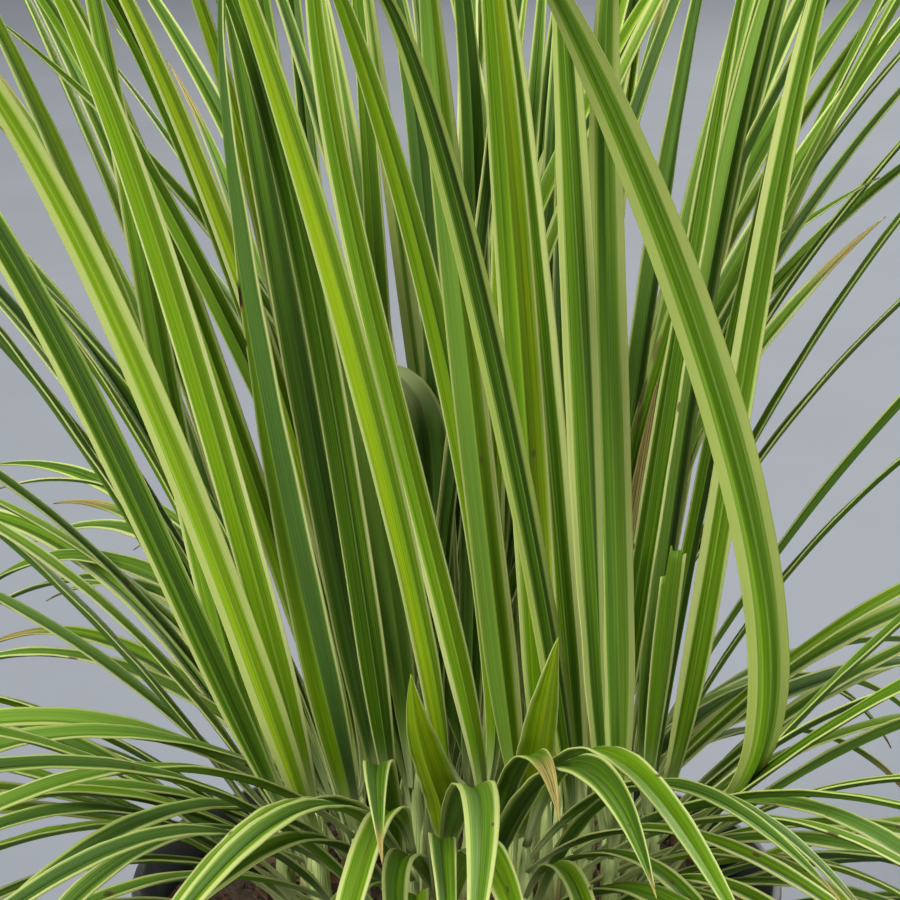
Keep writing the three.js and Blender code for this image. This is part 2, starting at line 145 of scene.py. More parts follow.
# Soft-edged patches on Object coordinates, as of dust, damp and wear.
patches, given, put = new_group(
    "Patches", {"Scale": 30, "Low": 0.45, "High": 0.6, "Seed": 0}, ["Mask", "Grain"]
)
moved = patches.nodes.new("ShaderNodeVectorMath")
patches.links.new(place(patches, "TexCoord").outputs["Object"], moved.inputs[0])
patches.links.new(place(patches, "CombineXYZ", Z=given["Seed"]).outputs[0], moved.inputs[1])
cloud = place(patches, "TexNoise", Vector=moved.outputs[0], Scale=given["Scale"], Detail=6, Roughness=0.62)
patches.links.new(span(patches, cloud.outputs["Fac"], given["Low"], given["High"]), put["Mask"])
speck_scale = maths(patches, "MULTIPLY", given["Scale"], 14)
speck = place(patches, "TexNoise", Vector=moved.outputs[0], Scale=speck_scale, Detail=2)
patches.links.new(speck.outputs["Fac"], put["Grain"])


def pot_plastic():
    """Matt dark plastic with a fine moulded grain, scuffs on its edges, and dried splashes of compost."""
    material, tree, shader = new_material("Dark pot plastic")
    fine = use_group(tree, patches, Scale=55, Low=0.42, High=0.7)
    splash = use_group(tree, patches, Scale=22, Low=0.56, High=0.68, Seed=3)
    height = place(tree, "SeparateXYZ", Vector=place(tree, "TexCoord").outputs["Object"]).outputs["Z"]
    near_foot = span(tree, height, 60 * MM, 0)
    near_rim = span(tree, height, (POT_HEIGHT - 14) * MM, (POT_HEIGHT + 4) * MM)
    dust = maths(tree, "MULTIPLY", splash["Mask"], maths(tree, "ADD", near_foot, near_rim, clamp=True))
    worn = place(tree, "NewGeometry").outputs["Pointiness"]
    scuffed = maths(tree, "MULTIPLY", span(tree, worn, 0.515, 0.56), fine["Mask"])
    colour = blend(tree, fine["Mask"], linear(38, 41, 43), linear(50, 53, 55))
    colour = blend(tree, maths(tree, "MULTIPLY", scuffed, 0.7), colour, linear(96, 98, 98))
    colour = blend(tree, maths(tree, "MULTIPLY", dust, 0.55), colour, linear(112, 96, 76))
    rough = maths(tree, "MULTIPLY_ADD", fine["Mask"], 0.12, 0.44)
    rough = maths(tree, "MULTIPLY_ADD", dust, 0.3, rough)
    relief = place(tree, "Bump", Strength=0.35, Distance=0.2 * MM, Height=fine["Grain"])
    feed(tree, shader, Base_Color=colour, Roughness=rough, Normal=relief.outputs[0])
    return material


def finish(name, made, materials):
    """A bmesh in millimetres as a finished piece that rides with the pot and plant."""
    bmesh.ops.scale(made, vec=(MM, MM, MM), verts=made.verts)
    mesh = bpy.data.meshes.new(name)
    made.to_mesh(mesh)
    made.free()
    for material in materials:
        mesh.materials.append(material)
    piece = bpy.data.objects.new(name, mesh)
    bpy.context.scene.collection.objects.link(piece)
    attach(piece, "root")
    return piece


def spun(outline, steps):
    """A closed body turned round the upright axis from an outline of (radius, height) corners."""
    made = bmesh.new()
    corners = [made.verts.new((radius, 0, height)) for radius, height in outline]
    sides = [made.edges.new(pair) for pair in zip(corners, corners[1:])]
    bmesh.ops.spin(
        made, geom=corners + sides, axis=(0, 0, 1), cent=(0, 0, 0), angle=2 * math.pi, steps=steps,
        use_merge=True,
    )
    bmesh.ops.remove_doubles(made, verts=made.verts, dist=1e-4)
    bmesh.ops.recalc_face_normals(made, faces=made.faces)
    return made


def wall_radius(height):
    """The outer radius of the pot's tapering wall."""
    top = POT_HEIGHT - POT_RIM_DEPTH
    return POT_BASE_RADIUS + (POT_NECK_RADIUS - POT_BASE_RADIUS) * (height - 2) / (top - 2)


def pot_outline():
    rim_foot = POT_HEIGHT - POT_RIM_DEPTH
    step = POT_FOOT_STEP
    return [
        (0, 0), (POT_BASE_RADIUS - 8, 0), (POT_BASE_RADIUS - 2, 0), (POT_BASE_RADIUS - 0.6, 0.6),
        (POT_BASE_RADIUS, 2), (wall_radius(step) - 0.7, step), (wall_radius(step), step + 1),
        (wall_radius(60), 60), (wall_radius(100), 100), (POT_NECK_RADIUS, rim_foot - 0.5),
        (POT_NECK_RADIUS + 0.4, rim_foot), (POT_RIM_RADIUS - 2.2, rim_foot + 0.3),
        (POT_RIM_RADIUS - 1.2, rim_foot + 1.2), (POT_RIM_RADIUS - 0.9, rim_foot + 3),
        (POT_RIM_RADIUS - 0.3, POT_HEIGHT - 4), (POT_RIM_RADIUS, POT_HEIGHT - 1.6),
        (POT_RIM_RADIUS - 0.4, POT_HEIGHT - 0.5), (POT_RIM_RADIUS - 1.3, POT_HEIGHT),
        (POT_RIM_RADIUS - POT_WALL - 0.2, POT_HEIGHT), (POT_RIM_RADIUS - POT_WALL - 0.9, POT_HEIGHT - 0.8),
        (POT_NECK_RADIUS - POT_WALL, rim_foot - 2), (POT_BASE_RADIUS - POT_WALL, POT_FLOOR + 2),
        (POT_BASE_RADIUS - POT_WALL - 2, POT_FLOOR), (0, POT_FLOOR),
    ]


pot = finish("nursery_pot", spun(pot_outline(), POT_STEPS), [pot_plastic()])
drills = bmesh.new()
for hole in range(DRAIN_HOLES):
    turn = Matrix.Rotation(2 * math.pi * hole / DRAIN_HOLES, 4, "Z")
    bmesh.ops.create_cone(
        drills, cap_ends=True, segments=32, radius1=DRAIN_RADIUS * MM, radius2=DRAIN_RADIUS * MM,
        depth=6 * POT_FLOOR * MM, matrix=turn @ Matrix.Translation((DRAIN_RING * MM, 0, 0)),
    )
drill_mesh = bpy.data.meshes.new("drills")
drills.to_mesh(drill_mesh)
drills.free()
drill = bpy.data.objects.new("drills", drill_mesh)
bpy.context.scene.collection.objects.link(drill)
cut = pot.modifiers.new("drain holes", "BOOLEAN")
cut.object = drill
cut.operation = "DIFFERENCE"
cut.solver = "EXACT"
drilled = bpy.data.meshes.new_from_object(pot.evaluated_get(bpy.context.evaluated_depsgraph_get()))
pot.modifiers.clear()
pot.data = drilled
bpy.data.objects.remove(drill)
drilled.shade_smooth()
drilled.set_sharp_from_angle(angle=math.radians(40))
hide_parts("pot")

# ---- Compost ----
# Moist dark potting compost, pressed in to 12 mm below the rim and heaped a little towards the crown, with
# shreds of composted bark and a few pale grains of grit lying on it.
SOIL_TOP = 146
SOIL_MOUND = 3
SOIL_STEPS = 120
SOIL_RINGS = 34
BARK_CHIPS = 420
CRUMBS = 900
GRIT_GRAINS = 90
TILT = 1.1  # of the strewn bits, in radians from least to most


def draws(seed):
    """A repeatable stream of numbers from 0 to 1."""
    state = 1 + seed % 2147483646
    for _ in range(3):
        state = state * 48271 % 2147483647
    while True:
        state = state * 48271 % 2147483647
        yield state / 2147483647


def mix(low, high, share):
    return low + (high - low) * share


def soil_height(x, y):
    return SOIL_TOP + SOIL_MOUND * max(0, 1 - math.hypot(x, y) / POT_NECK_RADIUS)


def bed_height(x, y):
    """The heaped and crumbly top of the compost."""
    swell = 0.9 * math.sin(0.21 * x + 1) * math.cos(0.17 * y)
    crumbly = noise.fractal(Vector((x, y, 0)) * 0.22, 0.9, 2.1, 4) * 0.9
    return soil_height(x, y) + swell + crumbly


def damp_compost():
    material, tree, shader = new_material("Damp compost")
    damp = use_group(tree, patches, Scale=24, Low=0.42, High=0.62)
    crumb = use_group(tree, patches, Scale=190, Low=0.4, High=0.65, Seed=1)
    colour = blend(tree, damp["Mask"], linear(44, 31, 22), linear(70, 52, 38))
    colour = blend(tree, maths(tree, "MULTIPLY", crumb["Mask"], 0.6), colour, linear(96, 74, 54))
    rough = maths(tree, "MULTIPLY_ADD", damp["Mask"], 0.15, 0.78)
    height = maths(tree, "ADD", crumb["Mask"], maths(tree, "MULTIPLY", crumb["Grain"], 0.4))
    relief = place(tree, "Bump", Strength=0.8, Distance=0.8 * MM, Height=height)
    feed(tree, shader, Base_Color=colour, Roughness=rough, Normal=relief.outputs[0])
    return material


def bark():
    material, tree, shader = new_material("Composted bark")
    streak = use_group(tree, patches, Scale=120, Low=0.35, High=0.65, Seed=2)
    kind = use_group(tree, patches, Scale=45, Low=0.4, High=0.6, Seed=5)
    colour = blend(tree, kind["Mask"], linear(84, 55, 36), linear(126, 92, 62))
    colour = blend(tree, maths(tree, "MULTIPLY", streak["Mask"], 0.5), colour, linear(52, 36, 26))
    relief = place(tree, "Bump", Strength=0.6, Distance=0.4 * MM, Height=streak["Grain"])
    feed(tree, shader, Base_Color=colour, Normal=relief.outputs[0])
    shader.inputs["Roughness"].default_value = 0.82
    return material


def grit():
    material, tree, shader = new_material("Pale grit")
    grain = use_group(tree, patches, Scale=160, Low=0.35, High=0.65, Seed=4)
    colour = blend(tree, grain["Mask"], linear(196, 188, 172), linear(150, 138, 118))
    relief = place(tree, "Bump", Strength=0.5, Distance=0.3 * MM, Height=grain["Grain"])
    feed(tree, shader, Base_Color=colour, Normal=relief.outputs[0])
    shader.inputs["Roughness"].default_value = 0.75
    return material


def strewn(count, seed, shapes, low, high, flat, sink):
    """Copies of small shapes strewn over the bed, each turned, sized and squeezed by its own draws."""
    made = bmesh.new()
    draw = draws(seed)
    for i in range(count):
        radius = (wall_radius(SOIL_TOP) - POT_WALL - 4) * math.sqrt(next(draw))
        angle = 2 * math.pi * next(draw)
        x, y = radius * math.cos(angle), radius * math.sin(angle)
        size = mix(low, high, next(draw) ** 2)
        tilt = Matrix.Rotation((next(draw) - 0.5) * TILT, 4, "X")
        tilt = tilt @ Matrix.Rotation((next(draw) - 0.5) * TILT, 4, "Y")
        turn = Matrix.Rotation(2 * math.pi * next(draw), 4, "Z")
        squeeze = Matrix.Diagonal((size, size * mix(0.45, 0.9, next(draw)), size * flat, 1))
        spot = Matrix.Translation((x, y, bed_height(x, y) + size * sink))
        copy = shapes[i % len(shapes)].copy()
        copy.transform(spot @ turn @ tilt @ squeeze)
        made.from_mesh(copy)
        bpy.data.meshes.remove(copy)
    return made


def small_shape(name, seed, roughness, chip=False):
    """A lump or a chip about 2 across, knocked out of true."""
    made = bmesh.new()
    if chip:
        bmesh.ops.create_cube(made, size=1.6)
        bmesh.ops.bevel(
            made, geom=made.edges, offset=0.3, segments=1, profile=0.5, affect="EDGES", material=-1
        )
    else:
        bmesh.ops.create_icosphere(made, subdivisions=1, radius=1)
    draw = draws(seed)
    for vert in made.verts:
        vert.co += Vector([(next(draw) - 0.5) * roughness for _ in range(3)])
    mesh = bpy.data.meshes.new(name)
    made.to_mesh(mesh)
    made.free()
    return mesh


def bed_outline():
    gap = 0.3
    inner = POT_WALL + gap
    low = POT_FLOOR + gap
    shoulder = SOIL_TOP - 9
    reach = wall_radius(shoulder) - inner
    outline = [(0, low), (wall_radius(low) - inner - 3, low), (wall_radius(9) - inner, 9)]
    outline += [(wall_radius(80) - inner, 80), (reach, shoulder), (reach * 0.995, SOIL_TOP - 2)]
    return outline + [(reach * 0.985 * (1 - ring / SOIL_RINGS), SOIL_TOP) for ring in range(SOIL_RINGS + 1)]


bed = spun(bed_outline(), SOIL_STEPS)
for vert in bed.verts:
    if vert.co.z > SOIL_TOP - 0.1:
        vert.co.z = bed_height(vert.co.x, vert.co.y)
compost = finish("compost_bed", bed, [damp_compost()])
compost.data.shade_smooth()
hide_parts("compost")
lumps = [small_shape("lump", 11 + i, 0.5) for i in range(4)]
chips = [small_shape("chip", 31 + i, 0.5, chip=True) for i in range(4)]
finish("compost_crumbs", strewn(CRUMBS, 101, lumps, 0.9, 3.2, 0.75, 0.2), [damp_compost()])
finish("bark_chips", strewn(BARK_CHIPS, 102, chips, 1.6, 5.5, 0.3, 0.2), [bark()])
finish("grit_grains", strewn(GRIT_GRAINS, 103, lumps, 0.7, 1.5, 0.85, 0.4), [grit()])
for shape in lumps + chips:
    bpy.data.meshes.remove(shape)

# ---- Leafy shoots ----
# Each shoot is a fan of long folded blades whose bases roll into sheaths round each other. Blades are green
# with cream margins, ribbed along their length, and creased at the midrib. A shoot is seated in the compost.
CROWN_RADIUS = 60
SHOOT_SPACING = 10.5
RULE_SHOOTS = 50  # places that the rule tries for the rest of the crown
MAX_SHOOTS = 48
CORE_RADIUS = 3.4
CORE_TOP_RADIUS = 1.6
CORE_HEIGHT = 48
CORE_DEPTH = 9
PARTING = 40  # the youngest leaf leaves the shoot this far above the oldest
FOOT_OFFSET = 1.4
LEAVES_PER_SHOOT = 6
TRIES = 100
UPRIGHT_TRIES = 60  # tries after which a blade of an outer shoot lies low instead
SKIRT_FROM = 0.55  # share of the crown's radius from which a shoot counts as an outer one
LOW = 226  # heights at which the front blades are set out
HIGH = 374
LOW_AT = 0.22  # where along a front blade those heights come
HIGH_AT = 0.65
GOLDEN_ANGLE = math.pi * (3 - math.sqrt(5))
PHYLLOTAXIS = 137  # degrees round the shoot from one leaf to the next
# Leans, bows and turns in degrees. Of two values, the first is the youngest leaf's, or the least.
OWN_LEAN = (3, 13)
OWN_LEAN_SPREAD = 4
BEARING_SPREAD = 0.7  # in radians
SHARED_LEAN = (2, 17)
SHOOT_LEAN = 8
SPRAWL = 30  # how much further the oldest blades of the outermost shoots lean out
SPRAWL_FROM = 0.45
BOW = (20, 72)
BOW_SPREAD = 14
BOWED_AT_BEND = 0.42  # share of the bow that has come about at the bend
LOW_LEAN = (30, 56)
LOW_BOW = 84
TIP_SWING = 22
FOOT_TURN = 24
TIP_TURN = 80
LENGTH = (300, 352)
SHORTEST = 0.7
WIDTH = (6.4, 9.6)
VIGOUR = (0.88, 1.08)
TIP_ON = (120, 190)  # how far a front blade's tip lies beyond its high place, and off its line
TIP_SIDEWAYS = (-12, 12)
TIP_FORWARDS = (0, -26)
TIP_UP = (66, 104)
TIP_MATCH = 0.05  # how near a drawn tip lies to the tip of a blade that the frame has
THICKNESS = 0.45
BLADE_ROWS = 44
FRONT_ROWS = 72
ACROSS = (-1, -0.92, -0.72, -0.48, -0.24, -0.07, 0, 0.07, 0.24, 0.48, 0.72, 0.92, 1)
FOLD = (0.28, 0.2)  # how deep a blade is creased at its foot and above, as a share of its width
SHOULDER = 0.055  # how far each half blade is arched, as a share of the width
WAVE = 0.3  # of the margins, up and down
CREASE = 0.12  # the extra depth of the midrib's fine groove
OPEN_BY = 0.3  # share of its length by which a blade has opened from its rolled foot
FOOT_WIDTH = 0.3  # of a blade's foot, as a share of its width
TAPER_FROM = 0.45
TAPER = 2.3  # the higher, the more suddenly a blade narrows to its tip
SEGMENTS = (0.36, 0.33, 0.36)  # foot to knee, knee to bend and bend to tip, as shares of a blade's length
SHELL = 0.2  # how much further out each older leaf's sheath lies
WRAP = (0.96, 0.7)  # how far round the shoot a sheath reaches at its foot and at its mouth
MOUTH_DIP = (6, 14)  # how far the mouth falls at its open side, on the lowest and the highest leaf
SHEATH_RUN = 40  # length over which a sheath's stripes run
STRIPE_SHIFT = 1000  # between the stripes of one blade and the next, so that no two match

# The front of the tuft, shoot by shoot: where the shoot stands, and its blades. A blade has its x and y at
# LOW and at HIGH, or a curved one its knee, bend and tip; its width; and its turn in degrees at LOW and at
# HIGH, or at its foot and tip. Then come, for its left and right half, the tone from dark -1 to lime 1, which
# holds the blade's own green together with painted shade and light on that half; the painted bluish sky sheen
# from 0 to 1; and the share that is cream; how olive its cream is; and where a broken one ends.
FRONT_SHOOTS = [
    ((-41, -38), [
        ((-48.3, -72, -97, -100), 8.6, (10, 0), (0.8, 0.7), (0, 0), (0.5, 0.46), 0.6),
        ((-60.6, -58, -126, -66), 8.8, (-15, 10), (-0.6, -0.7), (0, 0.1), (0.3, 0.08), 0.4),
    ]),
    ((-42, -24), [
        ((-48.2, -42, -84.6, -54), 8.6, (8, 15), (0.25, 0.4), (0, 0), (0.12, 0.3), 0),
        ((-63, -34, -90, -38), 8, (20, 30), (0.1, 0), (0.2, 0.2), (0.16, 0.2), 0.2),
    ]),
    ((-29, -17), [
        ((-30, -18, -70.4, -20), 6.8, (30, 10), (0.9, 0.8), (0, 0), (0.3, 0.36), 0),
        ((-31.5, -13, -73, -14), 6.8, (20, 10), (-0.5, -0.5), (0, 0), (0.06, 0.06), 0.5),
        (((-31.5, -55.7, 206.6), (-83.1, -18.9, 423.2), (-52.7, -78.4, 468.9)), 11, (44, -119),
         (0.2, -0.7), (0, 0.65), (0.1, 0.14), 0),
    ]),
    ((-17, -30), [
        ((-22.9, -34, -45.8, -37), 8.5, (12, 0), (-0.75, -0.35), (0, 0.1), (0.08, 0.2), 0.1),
        ((-28.9, -22, -54, -24), 8.8, (25, 35), (-0.3, -0.2), (0.5, 0.8), (0.1, 0.14), 0),
    ]),
    ((-5, -44), [
        ((-5.3, -56, -36, -84), 8, (52, 10), (0.95, 0.4), (0, 0.1), (0.16, 0.22), 0.5),
        (((2, -54, 205), (-10, -86, 222), (-12.2, -110, 260)), 12, (-15, -15),
         (1, 1), (0, 0), (0.1, 0.1), 0.5),
    ]),
    ((6, -32), [
        (((17.6, -51.4, 205.5), (-56, -50.3, 427.3), (-33.5, -80, 463.1)), 7.6, (25, 2),
         (0.2, 0.4), (0.1, 0), (0.3, 0.16), 0),
    ]),
    ((-12, -12), [
        ((-16.4, -13, -42.6, -16), 8.8, (10, 20), (0.6, 0.5), (1, 0.8), (0.12, 0.16), 0.4),
        ((-16.7, -4, -24.7, -4), 6.5, (10, -20), (0, -0.1), (0.1, 0.1), (0.14, 0.16), 0),
        ((-24, -9, -87.1, -8), 6.2, (10, 10), (0, -0.3), (0.2, 0.1), (0.12, 0.14), 0.7),
    ]),
    ((4, -13), [
        ((-6.3, -8, 8.6, -8), 6.8, (30, 55), (-0.8, -0.7), (0.3, 0.2), (0.22, 0.2), 0),
        ((11, -16, -15.6, -22), 7.6, (5, 5), (0.45, 0.1), (0, 0), (0.1, 0.14), 0),
        ((10.5, -9, 12.4, -13), 5, (10, 0), (0.5, 0.3), (0, 0), (0.3, 0.5), 0.3),
        ((4.5, -3, 5, -3), 8.5, (0, 0), (-0.7, -0.8), (0.3, 0.2), (0.1, 0.12), 0.2),
    ]),
    ((20, -30), [
        ((14.5, -40, -2.1, -56), 9.8, (0, 12), (0.5, 0.4), (0.8, 0), (0.1, 0.36), 0.6),
        (((21, -46, 200), (20.5, -86, 232), (26, -110, 270)), 12, (20, 20), (1, 1), (0, 0), (0.12, 0.1), 0.4),
    ]),
    ((33, -40), [
        ((29.8, -60, 0.8, -88), 8.2, (35, 25), (-1, -1), (0, 0), (0.42, 0.4), 1),
    ]),
    ((27, -20), [
        ((25, -46, 14.2, -66), 11, (0, 0), (-0.1, 0.9), (0, 0), (0.2, 0.18), 0.6),
    ]),
    ((38, -26), [
        ((33.9, -34, 19.6, -46), 9.2, (-15, -30), (-0.5, -0.6), (0, 0), (0.06, 0.4), 0.2),
        (((37, -27, 215), (34.5, -28, 270), (32.5, -28, 312)), 4.5, (0, 0), (0, 0), (0, 0), (0.1, 0.1), 0),
    ]),
    ((45, -42), [
        ((39.4, -63, 30.2, -92), 10, (66, 0), (-0.4, -0.5), (0.1, 0.1), (0.36, 0.46), 0.6),
        ((45.6, -54, 38.5, -84), 10.4, (15, 0), (-0.2, 0.2), (0.4, 0.4), (0.4, 0.44), 0.6),
    ]),
    ((58, -32), [
        ((85, -66, 51.8, -118), 11.6, (10, 5), (-0.1, -0.1), (0.1, 0.1), (0.52, 0.5), 0.85),
    ]),
    ((47, -9), [
        ((49, -26, 68.6, -32), 7.8, (-20, -55), (-0.6, -0.5), (0, 0), (0.26, 0.16), 0.1),
        ((44.6, -8, 59.4, -7), 8, (20, 40), (-0.1, -0.3), (0.7, 0.6), (0.1, 0.12), 0.3),
        (((42.5, -17, 215), (49.5, -20, 272), (57.6, -20, 318)), 7, (35, 35), (0, 0), (0, 0), (0.1, 0.1), 0),
        (((33.7, -13, 222), (50, -14, 306), (82.3, -18, 400)), 8, (20, 20),
         (-0.2, -0.1), (0, 0), (0.3, 0.1), 1),
    ]),
    ((58, -10), [
        ((58, -36, 71.6, -40), 7.2, (25, 20), (0.1, 0.3), (0.2, 0), (0.1, 0.26), 0, 0.38),
        ((57.4, -17, 75.5, -18), 8.4, (20, 15), (0.8, -0.8), (1, 0), (0.14, 0.26), 0.6),
        ((68.3, -27, 88.6, -30), 8.4, (0, 0), (-0.2, 0.1), (0, 0), (0.5, 0.2), 0.4),
        ((61.6, -22, 87.3, -23), 5.2, (20, 15), (-0.2, -0.4), (0, 0), (0.1, 0.1), 0.6),
    ]),
    ((6, 0), [
        (((-21.2, 4, 257.4), (10.9, 8, 318.7), (-32.5, 12, 315.4)), 13, (10, 10),
         (-0.4, 0), (0.5, 0.8), (0.08, 0.14), 0.3),
    ]),
    ((-30, 3), [
        ((-43.1, 0, -91.6, 7), 7.6, (10, 20), (0.3, 0.1), (0, 0.1), (0.25, 0.3), 0.8),
        ((-33.6, -2, -59.2, -4), 6.5, (10, 15), (0.7, 0.6), (0, 0), (0.3, 0.3), 0.3),
    ]),
    ((8, 16), [
        ((0, 26, -20.3, 31), 6, (0, 0), (0.3, 0.4), (0.8, 0.6), (0.85, 0.75), 0.6),
        ((-1, 18, -10.8, 20), 7, (5, 0), (-0.4, -0.4), (0.9, 0.7), (0.1, 0.1), 0.2),
    ]),
]
# Bitten or bruised spots: shoot, blade, how far across from the midrib, height, width, length, how faded.
SCARS = (
    (2, 2, -0.95, 346, 3.2, 9, 0), (2, 2, -0.97, 333, 1.8, 2.6, 0.1), (8, 0, 0.15, 301.5, 1.1, 2.2, 1),
    (10, 0, 0.25, 307, 1.3, 2.4, 1), (14, 0, 0.95, 313, 0.9, 2.6, 0.6), (14, 0, -0.9, 270, 0.9, 2, 0.5),
    (14, 3, -0.8, 326, 1.8, 8, 1), (14, 3, -0.9, 313, 1.6, 9, 0.6), (14, 3, -0.6, 307, 1.2, 6, 0.8),
)
MOST_SCARS = 3
NO_SCAR = (9, 0, 1, 1, 0)
WITHERED = ((11, 1), (14, 2))  # shoots and blades that are dead
# The bent blade carries a painted highlight: paler where it turns to the light.
BENT = (16, 0)  # shoot and blade that bends over, with a paler sheen where it turns to the light
SHEEN = (0.62, 0.25, 0.9)  # from what share of its length, over what share, and how pale
TORN = (15, 0)  # shoot and blade whose end is torn off
TORN_LENGTH = 110
# Its end: places from the left margin to the right one, and how much is missing at each.
TEAR = ((-1, -0.58, -0.5, -0.38, -0.3, 0, 0.5, 0.6, 0.85, 1), (8.2, 7.8, 0.4, 0, 1.5, 1.2, 1.4, 3, 2.6, 2.4))


def within(span_of, share):
    return mix(span_of[0], span_of[1], share)


def heading(angle):
    return Vector((math.cos(angle), math.sin(angle), 0))


def leaning(out, tilt):
    """A direction that leans from upright by tilt towards the horizontal unit vector out."""
    return Vector((0, 0, math.cos(tilt))) + out * math.sin(tilt)


def make_shoot(number, x, y):
    """Where a shoot stands, and what its blades share."""
    draw = draws(number * 15485863)
    return {
        "number": number,
        "foot": Vector((x, y, soil_height(x, y) + 2)),
        "bearing": math.atan2(y, x),
        "reach": math.hypot(x, y) / CROWN_RADIUS,
        "start": next(draw) * 2 * math.pi,
        "lean": SHOOT_LEAN * next(draw),
        "length": within(LENGTH, next(draw)),
        "vigour": within(VIGOUR, next(draw)),
        "blades": [],
    }


def curve_through(foot, low, high, tip):
    """The cubic curve from foot to tip that passes through low and high at LOW_AT and HIGH_AT."""
    a, b = [[(1 - t) ** 3, 3 * t * (1 - t) ** 2, 3 * t * t * (1 - t), t**3] for t in (LOW_AT, HIGH_AT)]
    p = low - foot * a[0] - tip * a[3]
    q = high - foot * b[0] - tip * b[3]
    det = a[1] * b[2] - a[2] * b[1]
    return [foot, (p * b[2] - q * a[2]) / det, (q * a[1] - p * b[1]) / det, tip]


def front_blade(shoot, rank, places, width, turns, tones, painted_sheens, creams, olive, ends=1):
    """A listed blade: it rises through its places and bows over beyond, or is curved."""
    draw = draws(shoot["number"] * 6151 + rank * 3079 + 101)
    foot = shoot["foot"] + Vector((0, 0, PARTING * (1 - rank / (LEAVES_PER_SHOOT - 1))))
    if len(places) == 3:
        curve = [foot, *[Vector(spot) for spot in places]]
        turn = [math.radians(angle) for angle in turns]
    else:
        low = Vector((places[0], places[1], LOW))
        high = Vector((places[2], places[3], HIGH))
        away = low - shoot["foot"]
        away.z = 0
        foot += away.normalized() * FOOT_OFFSET
        slope = (high - low) / (HIGH - LOW)
        slope.z = 0
        tip = high + slope * within(TIP_ON, next(draw))
        tip += Vector([within(reach, next(draw)) for reach in (TIP_SIDEWAYS, TIP_FORWARDS, TIP_UP)])
        curve = curve_through(foot, low, high, tip)
        turn_rate = math.radians(turns[1] - turns[0]) / (HIGH_AT - LOW_AT)
        foot_turn = math.radians(turns[0]) - turn_rate * LOW_AT
        turn = (foot_turn, foot_turn + turn_rate)
    return {
        "rank": rank, "curve": curve, "side": Vector((1, 0, 0)), "width": width, "turn": turn, "ends": ends,
        "front": True, "tones": tones, "painted_sheens": painted_sheens, "creams": creams, "olive": olive,
        "tip dry": 0 if len(places) == 3 else 0.02 + 0.03 * next(draw),
        "scars": [scar[2:] for scar in SCARS if scar[:2] == (shoot["number"], rank)],
    }


def drawn_blade(shoot, rank, attempt):
    """One try at a blade. Rank 0 is the most upright; late tries lie low and arch over the rim."""
    draw = draws(shoot["number"] * 7919 + rank * 104729 + attempt * 1299709)
    age = rank / (LEAVES_PER_SHOOT - 1)
    spread = 1 + 2 * (attempt / TRIES)
    low = attempt >= UPRIGHT_TRIES
    own_bearing = shoot["start"] + rank * math.radians(PHYLLOTAXIS)
    own_bearing += (next(draw) - 0.5) * BEARING_SPREAD * spread
    own_lean = within(OWN_LEAN, age) + next(draw) * OWN_LEAN_SPREAD * spread
    sprawl = SPRAWL * shoot["reach"] * max(0, age - SPRAWL_FROM) / (1 - SPRAWL_FROM)
    shared_lean = within(SHARED_LEAN, shoot["reach"]) + shoot["lean"] * age + sprawl
    if low:
        shared_lean = within(LOW_LEAN, next(draw))
    lean = heading(shoot["bearing"]) * math.tan(math.radians(shared_lean))
    lean += heading(own_bearing) * math.tan(math.radians(own_lean))
    out = lean.normalized()
    foot_tilt = math.atan(lean.length)
    bow = (LOW_BOW if low else within(BOW, age)) + BOW_SPREAD * (next(draw) - 0.5) * spread
    tip_tilt = foot_tilt + math.radians(bow)
    length = shoot["length"] * mix(1, SHORTEST, 1 if low else age * age) * mix(0.9, 1.06, next(draw))
    width = within(WIDTH, next(draw)) * shoot["vigour"]
    swung = Matrix.Rotation((next(draw) - 0.5) * math.radians(TIP_SWING) * spread, 3, "Z") @ out
    foot = shoot["foot"] + out * FOOT_OFFSET
    foot.z += PARTING * (1 - age)
    knee = foot + leaning(out, foot_tilt) * length * SEGMENTS[0]
    bend = knee + leaning(out, mix(foot_tilt, tip_tilt, BOWED_AT_BEND)) * length * SEGMENTS[1]
    tip = bend + leaning(swung, tip_tilt) * length * SEGMENTS[2]
    turn = [(next(draw) - 0.5) * math.radians(most) for most in (FOOT_TURN, TIP_TURN)]
    # The shared tone is the blade's own random green; the half difference paints one half of the crease
    # lighter and the other darker, as light falls on them; the bluish amount is a painted sky reflection.
    tone = mix(-0.7, 0.4, next(draw))
    half = mix(-0.25, 0.25, next(draw))
    painted_sheen = 0.7 * next(draw)
    cream = mix(0.12, 0.3, next(draw))
    return {
        "rank": rank, "curve": [foot, knee, bend, tip], "side": Vector((-out.y, out.x, 0)), "width": width,
        "turn": turn, "ends": 1, "front": False, "tones": (tone + half, tone - half),
        "painted_sheens": (painted_sheen, painted_sheen * next(draw)), "creams": (cream, cream * mix(0.7, 1.3, next(draw))),
        "tip dry": mix(0.01, 0.05 + 0.12 * age, next(draw) ** 2), "olive": 0.7 * next(draw),
        "scars": [
            (mix(-1, 1, next(draw)), mix(190, 330, next(draw)), 0.6 + next(draw), 1.5 + 4 * next(draw), 0.4)
        ],
    }


def grow(shoot):
    """The blades that the frame's shoot has: the first tries whose tips are among its points."""
    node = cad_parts[f"shoot_{shoot['number'] + 1:02d}"]
    tree = KDTree(len(node.data.vertices))
    for i, vert in enumerate(node.data.vertices):
        tree.insert(vert.co / MM, i)
    tree.balance()
    tries = TRIES if shoot["reach"] > SKIRT_FROM else UPRIGHT_TRIES
    for rank in range(len(shoot["blades"]), LEAVES_PER_SHOOT):
        for attempt in range(tries):
            blade = drawn_blade(shoot, rank, attempt)
            if tree.find(blade["curve"][3])[2] < TIP_MATCH:
                shoot["blades"].append(blade)
                break


def smooth(share):
    share = np.clip(share, 0, 1)
    return share * share * (3 - 2 * share)


